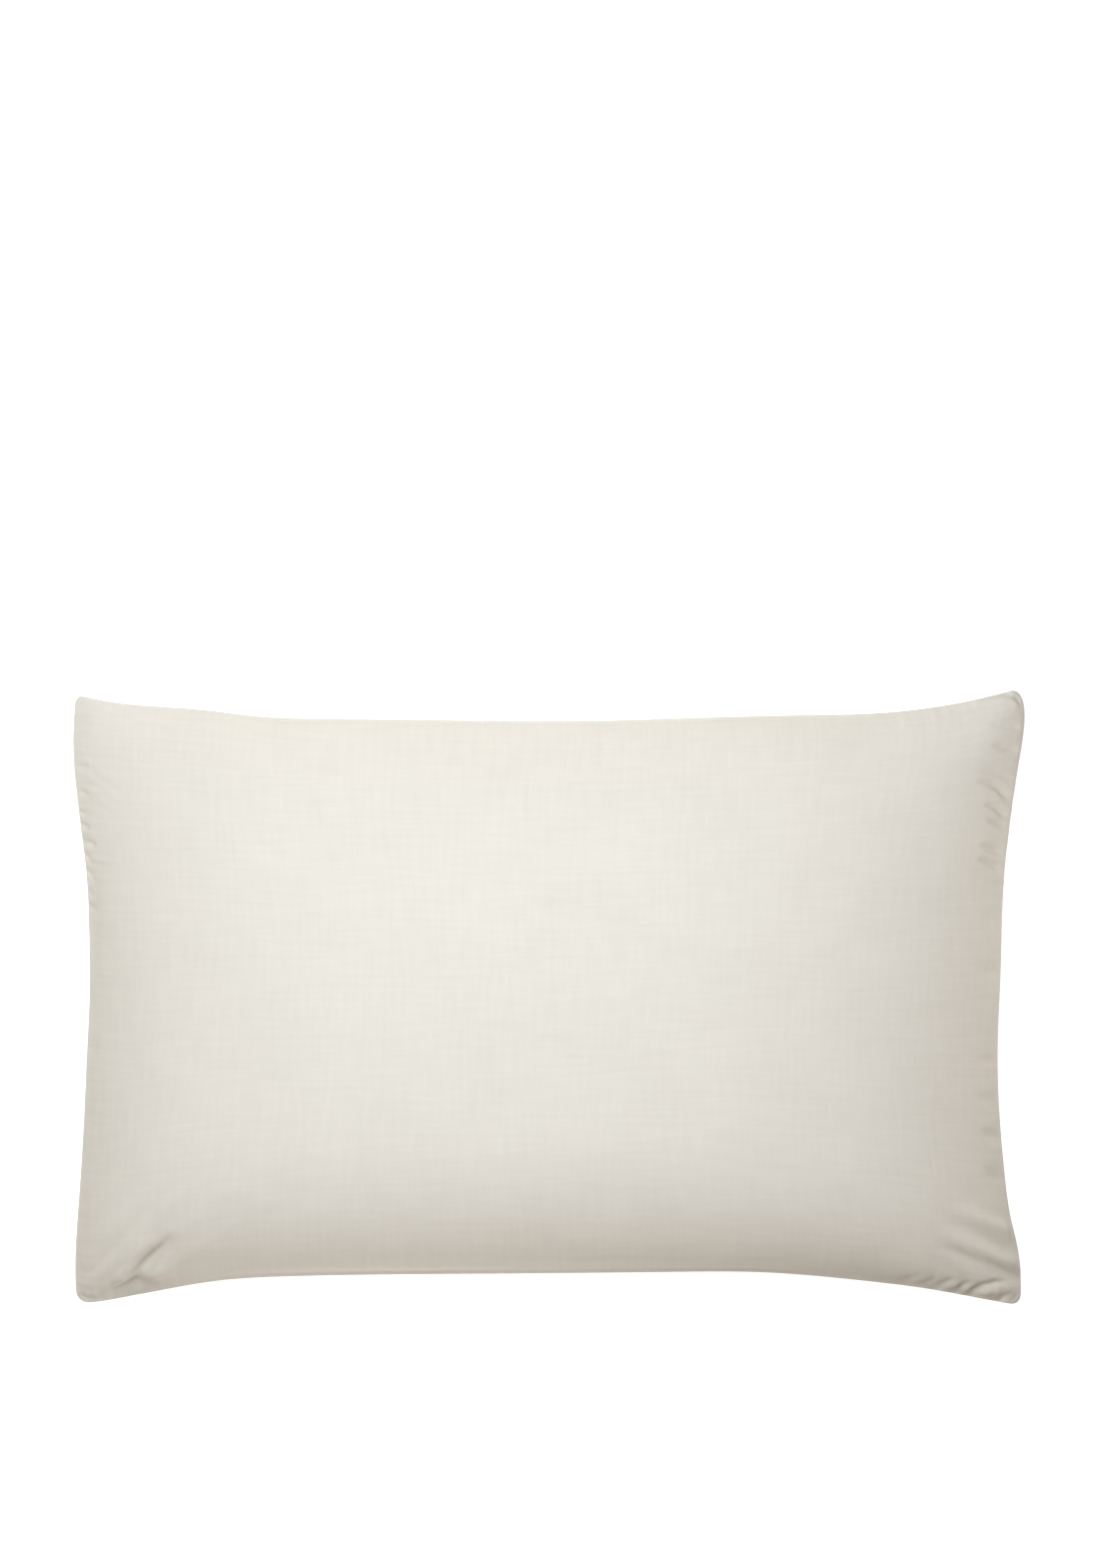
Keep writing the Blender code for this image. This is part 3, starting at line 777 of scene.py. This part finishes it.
# The photograph's ground is clipped to white, but it lights the case unevenly: there is no glow under the
# case itself, and around each patch the glow changes by this share at its middle. The camera sees the floor
# white all over. UNDER_CASE is half the length and half the width of the floor under the case.
UNDER_CASE = (0.355, 0.225)
GlowPatch = namedtuple("GlowPatch", "x y reach change")
GLOW_PATCHES = [
    GlowPatch(x=0.36, y=-0.29, reach=0.23, change=-0.96),
    GlowPatch(x=0.42, y=0.28, reach=0.14, change=-0.95),
    GlowPatch(x=-0.46, y=-0.10, reach=0.22, change=-0.45),
    GlowPatch(x=-0.42, y=-0.29, reach=0.13, change=-0.60),
    GlowPatch(x=-0.17, y=-0.38, reach=0.16, change=0.60),
    GlowPatch(x=-0.12, y=0.42, reach=0.24, change=0.60),
    GlowPatch(x=0.50, y=0.05, reach=0.18, change=1.00),
]

KEY_PLACE = Vector((-0.20, 0.41, 1.90))
KEY_AIM = Vector((0.0, 0.0, 0.05))
KEY_SIZE = 1.0
KEY_POWER = 39.5
KEY_COLOUR = (0.84, 0.91, 1.0)
ROUND_COLOUR = (1.0, 0.70, 0.35, 1.0)
ROUND_STRENGTH = 0.16

# The photograph in pixels, where the middle of the case is in it, and the height that its scale is true at.
PHOTO_HEIGHT = 1585
METRES_PER_PIXEL = 0.000765
CASE_MIDDLE = (555.3, 1008.8)
PHOTO_MIDDLE = (555.0, 792.5)
LENS = 200.0
SENSOR = 36.0
SEAM_PLANE = 0.036

bpy.ops.mesh.primitive_plane_add(size=FLOOR_SIZE, location=(0.0, 0.0, -FLOOR_GAP))
bpy.ops.object.transform_apply(location=True, rotation=False, scale=False)
floor = bpy.context.object
floor.name = "floor"
floor_white = bpy.data.materials.new("floor_white")
floor_white.use_nodes = True
floor_tree = floor_white.node_tree
floor_nodes, floor_links = floor_tree.nodes, floor_tree.links
floor_shader = floor_nodes["Principled BSDF"]
floor_shader.inputs["Base Color"].default_value = (FLOOR_GREY, FLOOR_GREY, FLOOR_GREY, 1.0)
floor_shader.inputs["Roughness"].default_value = FLOOR_ROUGHNESS
floor_shader.inputs["Emission Color"].default_value = (1.0, 1.0, 1.0, 1.0)
floor_place = floor_nodes.new("ShaderNodeTexCoord").outputs["Object"]
floor_axes = floor_nodes.new("ShaderNodeSeparateXYZ")
floor_links.new(floor_place, floor_axes.inputs["Vector"])
under = []
for axis, half in zip("XY", UNDER_CASE):
    from_middle = reckoned(floor_tree, "ABSOLUTE", floor_axes.outputs[axis])
    under.append(reckoned(floor_tree, "LESS_THAN", from_middle, half))
beside = reckoned(floor_tree, "SUBTRACT", 1.0, reckoned(floor_tree, "MULTIPLY", *under))
glow = reckoned(floor_tree, "MULTIPLY", beside, FLOOR_GLOW)
for glowing in GLOW_PATCHES:
    away = floor_nodes.new("ShaderNodeVectorMath")
    away.operation = "DISTANCE"
    away.inputs[1].default_value = (glowing.x, glowing.y, 0.0)
    floor_links.new(floor_place, away.inputs[0])
    reached = reckoned(floor_tree, "DIVIDE", away.outputs["Value"], glowing.reach)
    squared = reckoned(floor_tree, "MULTIPLY", reached, reached)
    near = reckoned(floor_tree, "EXPONENT", reckoned(floor_tree, "MULTIPLY", squared, -1.0))
    changed = reckoned(floor_tree, "ADD", reckoned(floor_tree, "MULTIPLY", near, glowing.change), 1.0)
    glow = reckoned(floor_tree, "MULTIPLY", glow, changed)
to_camera = floor_nodes.new("ShaderNodeLightPath").outputs["Is Camera Ray"]
seen = reckoned(floor_tree, "MULTIPLY", to_camera, FLOOR_GLOW)
floor_links.new(reckoned(floor_tree, "MAXIMUM", glow, seen), floor_shader.inputs["Emission Strength"])
floor.data.materials.append(floor_white)

bpy.ops.object.light_add(type="AREA", location=KEY_PLACE)
key = bpy.context.object
key.name = "key"
key.rotation_euler = (KEY_AIM - KEY_PLACE).to_track_quat("-Z", "Y").to_euler()
key.data.size = KEY_SIZE
key.data.energy = KEY_POWER
key.data.color = KEY_COLOUR
world = bpy.data.worlds.new("studio")
world.use_nodes = True
world.node_tree.nodes["Background"].inputs["Color"].default_value = ROUND_COLOUR
world.node_tree.nodes["Background"].inputs["Strength"].default_value = ROUND_STRENGTH
bpy.context.scene.world = world
bpy.context.scene.view_settings.view_transform = "Standard"

camera_x = (PHOTO_MIDDLE[0] - CASE_MIDDLE[0]) * METRES_PER_PIXEL
camera_y = (CASE_MIDDLE[1] - PHOTO_MIDDLE[1]) * METRES_PER_PIXEL
camera_z = SEAM_PLANE + LENS / SENSOR * PHOTO_HEIGHT * METRES_PER_PIXEL
bpy.ops.object.camera_add(location=(camera_x, camera_y, camera_z), rotation=(0.0, 0.0, 0.0))
camera = bpy.context.object
camera.data.lens = LENS
camera.data.sensor_fit = "VERTICAL"
camera.data.sensor_height = SENSOR
bpy.context.scene.camera = camera
